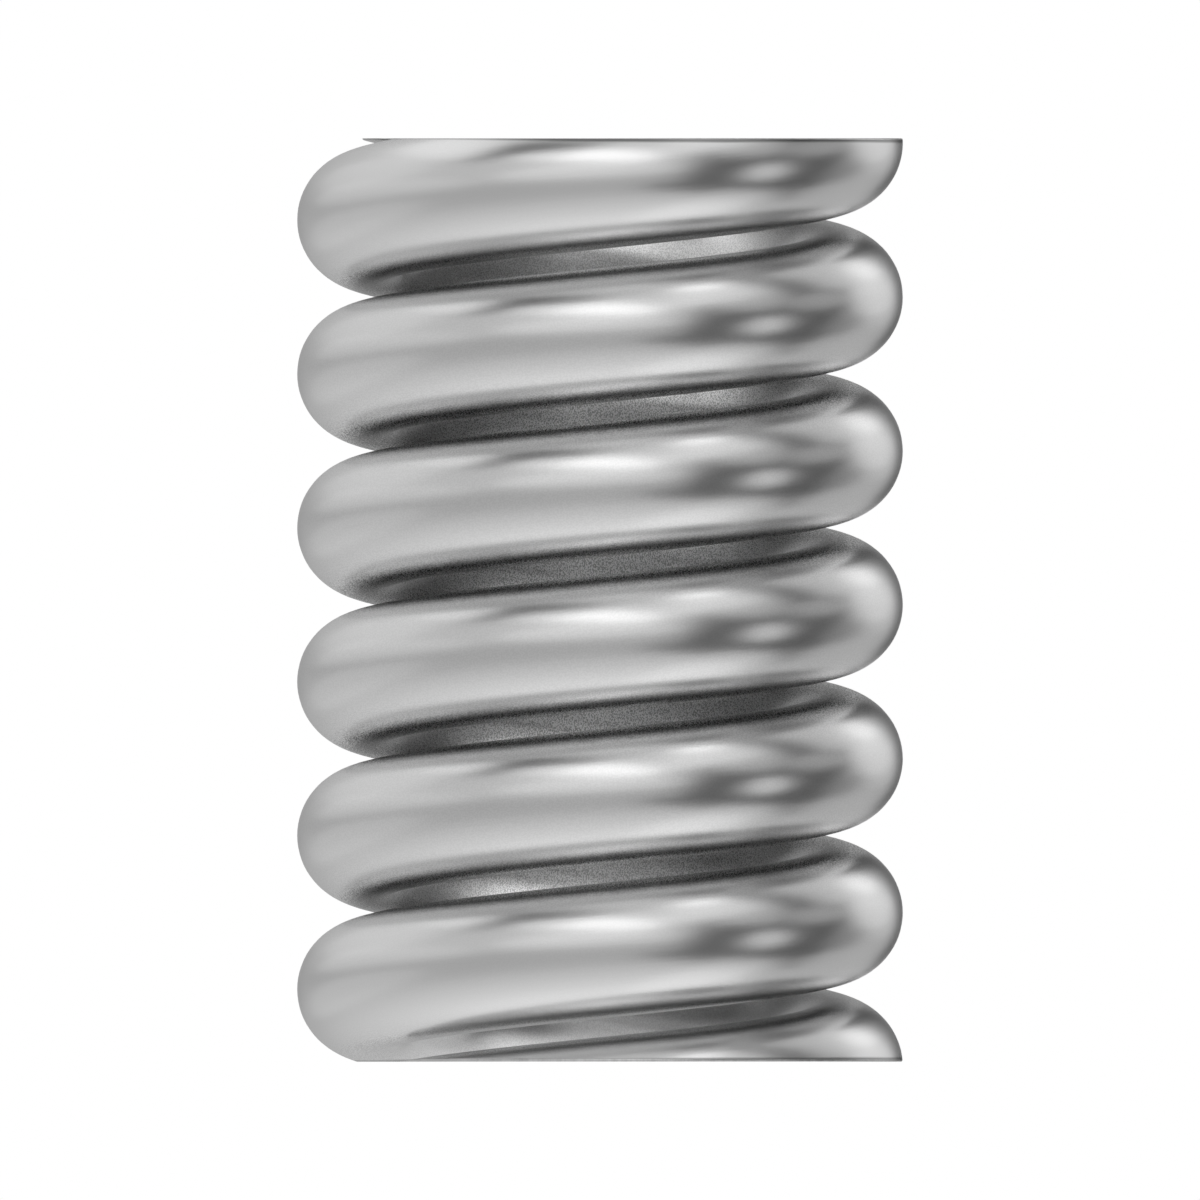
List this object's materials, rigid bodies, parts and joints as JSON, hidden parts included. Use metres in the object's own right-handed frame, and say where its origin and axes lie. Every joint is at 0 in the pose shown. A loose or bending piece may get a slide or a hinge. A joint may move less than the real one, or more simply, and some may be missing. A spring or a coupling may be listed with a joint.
{
  "type": "brake rod spring",
  "caption": "Heavy compression spring of thick round wire, wound right-handed with narrow even gaps and flat ground ends, to slide over a brake rod.",
  "frame": {"origin": "on the coil's axis, in the plane of the bottom ground face", "axes": "+Z along the coil's axis towards the top ground face; the picture looks along +Y with +X to the right"},
  "size_m": [0.0286, 0.0286, 0.0436],
  "materials": {
    "spring_steel": "satin, bare or clear-plated spring wire with bright ground ends"
  },
  "bodies": {
    "root": {"coil_spring": "spring_steel"}
  },
  "joints": []
}
